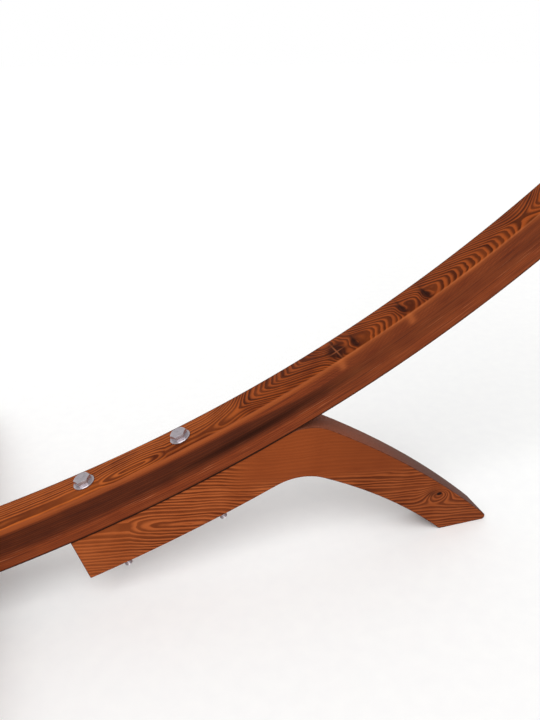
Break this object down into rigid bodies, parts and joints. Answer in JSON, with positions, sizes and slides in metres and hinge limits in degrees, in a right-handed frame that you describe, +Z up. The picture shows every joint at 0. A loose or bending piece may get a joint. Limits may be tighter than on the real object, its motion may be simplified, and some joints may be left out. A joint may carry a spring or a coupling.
{
  "type": "hammock stand",
  "caption": "Curved timber arc stand for a hammock, with boomerang feet, arched cross feet, bolts, eye bolts and snap hooks.",
  "frame": {"origin": "on the floor, under the middle of the arc", "axes": "+X along the stand towards the half shown in the picture, +Y across it to the back, +Z up"},
  "size_m": [3.8772, 1.2, 1.1764],
  "materials": {
    "beam_wood": "semi-gloss stained larch, laminated",
    "foot_wood": "satin stained larch, sawn board",
    "zinc_fasteners": "zinc plated",
    "hook_steel": "bright zinc plated wire"
  },
  "bodies": {
    "stand": {"arc_beam_left": "beam_wood", "arc_beam_right": "beam_wood", "boomerang_foot_left": "foot_wood", "boomerang_foot_right": "foot_wood", "cross_bolt_left": "zinc_fasteners", "cross_bolt_right": "zinc_fasteners", "cross_foot_left": "foot_wood", "cross_foot_right": "foot_wood", "cross_nut_left": "zinc_fasteners", "cross_nut_right": "zinc_fasteners", "cross_washer_lower_left": "zinc_fasteners", "cross_washer_lower_right": "zinc_fasteners", "cross_washer_upper_left": "zinc_fasteners", "cross_washer_upper_right": "zinc_fasteners", "eye_bolt_left": "hook_steel", "eye_bolt_right": "hook_steel", "eye_nut_lower_left": "zinc_fasteners", "eye_nut_lower_right": "zinc_fasteners", "eye_nut_upper_left": "zinc_fasteners", "eye_nut_upper_right": "zinc_fasteners", "eye_washer_lower_left": "zinc_fasteners", "eye_washer_lower_right": "zinc_fasteners", "eye_washer_upper_left": "zinc_fasteners", "eye_washer_upper_right": "zinc_fasteners", "foot_bolt_left_1": "zinc_fasteners", "foot_bolt_left_2": "zinc_fasteners", "foot_bolt_right_1": "zinc_fasteners", "foot_bolt_right_2": "zinc_fasteners", "foot_nut_left_1": "zinc_fasteners", "foot_nut_left_2": "zinc_fasteners", "foot_nut_right_1": "zinc_fasteners", "foot_nut_right_2": "zinc_fasteners", "foot_washer_lower_left_1": "zinc_fasteners", "foot_washer_lower_left_2": "zinc_fasteners", "foot_washer_lower_right_1": "zinc_fasteners", "foot_washer_lower_right_2": "zinc_fasteners", "foot_washer_upper_left_1": "zinc_fasteners", "foot_washer_upper_left_2": "zinc_fasteners", "foot_washer_upper_right_1": "zinc_fasteners", "foot_washer_upper_right_2": "zinc_fasteners", "lap_bolt_1": "zinc_fasteners", "lap_bolt_2": "zinc_fasteners", "lap_nut_1": "zinc_fasteners", "lap_nut_2": "zinc_fasteners", "lap_washer_lower_1": "zinc_fasteners", "lap_washer_lower_2": "zinc_fasteners", "lap_washer_upper_1": "zinc_fasteners", "lap_washer_upper_2": "zinc_fasteners"},
    "hook_right": {"hook_body_right": "hook_steel", "gate_pin_right": "zinc_fasteners"},
    "gate_right": {"hook_gate_right": "hook_steel", "gate_spring_right": "hook_steel"},
    "hook_left": {"hook_body_left": "hook_steel", "gate_pin_left": "zinc_fasteners"},
    "gate_left": {"hook_gate_left": "hook_steel", "gate_spring_left": "hook_steel"}
  },
  "joints": [
    {"name": "hook_swing_right", "type": "hinge", "parent": "stand", "child": "hook_right", "pos_m": [1.78883, 0, 1.13239], "axis": [0, 1, 0], "range_deg": [-7, 75]},
    {"name": "gate_open_right", "type": "hinge", "parent": "hook_right", "child": "gate_right", "pos_m": [1.78883, -0.01093, 1.11361], "axis": [1, 0, 0], "range_deg": [0, 28], "stiffness_Nm_per_rad": 0.12, "springref_deg": -28.65},
    {"name": "hook_swing_left", "type": "hinge", "parent": "stand", "child": "hook_left", "pos_m": [-1.78883, 0, 1.13239], "axis": [0, -1, 0], "range_deg": [-7, 75]},
    {"name": "gate_open_left", "type": "hinge", "parent": "hook_left", "child": "gate_left", "pos_m": [-1.78883, -0.01093, 1.11361], "axis": [1, 0, 0], "range_deg": [0, 28], "stiffness_Nm_per_rad": 0.12, "springref_deg": -28.65}
  ]
}
